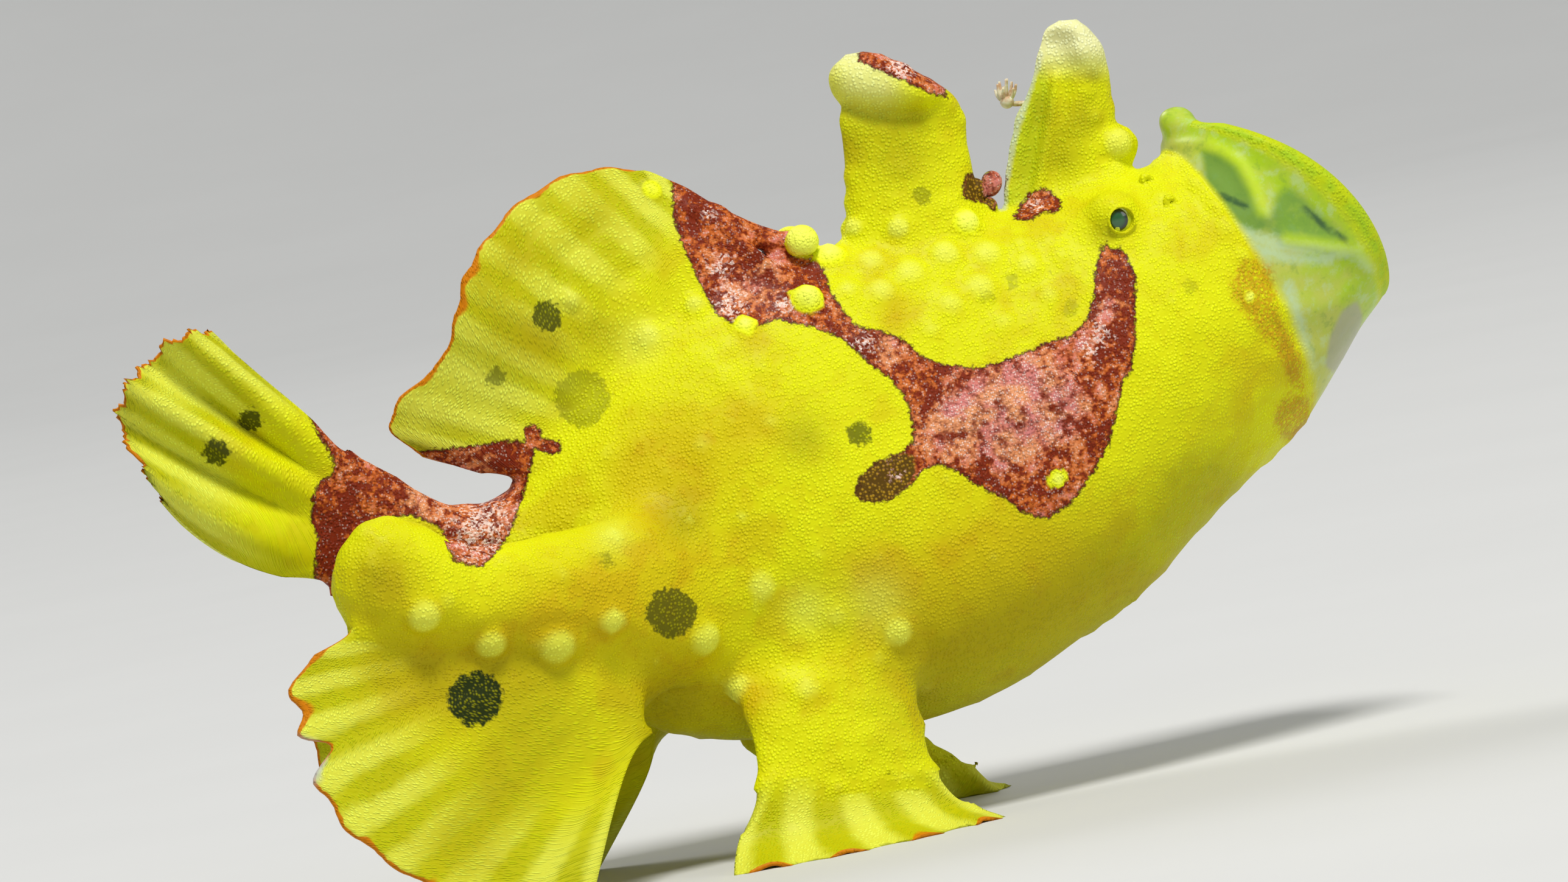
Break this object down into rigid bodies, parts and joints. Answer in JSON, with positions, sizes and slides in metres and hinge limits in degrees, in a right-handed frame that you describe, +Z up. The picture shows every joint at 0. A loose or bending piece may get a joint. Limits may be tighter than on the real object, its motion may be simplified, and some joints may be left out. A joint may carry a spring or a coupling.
{
  "type": "frogfish",
  "caption": "Still, life-size yellow warty frogfish with brick red patches, mouth stretched open in a yawn, standing on its hand-like fins.",
  "frame": {"origin": "on the floor under the middle of the overall box", "axes": "+X towards the open mouth, -Y the animal's right side, +Z up"},
  "size_m": [0.1302, 0.0452, 0.0758],
  "materials": {
    "skin": "warty, fine grained, wet",
    "fin": "thin, rayed, orange edge",
    "mouth": "thin wet skin, half clear",
    "eye": "clear domed eye",
    "lure": "pale soft tufts"
  },
  "bodies": {
    "root": {"head": "skin", "trunk": "skin", "tail_stem": "skin", "third_spine": "skin", "second_spine": "skin", "arm_right": "skin", "arm_left": "skin", "leg_right": "skin", "leg_left": "skin", "dorsal_fin": "fin", "tail_fin": "fin", "anal_fin": "fin", "hand_right": "fin", "hand_left": "fin", "foot_right": "fin", "foot_left": "fin", "upper_jaw": "mouth", "lower_jaw": "mouth", "mouth_skin_right": "mouth", "mouth_skin_left": "mouth", "eye_right": "eye", "eye_left": "eye", "lure": "lure"}
  },
  "joints": []
}
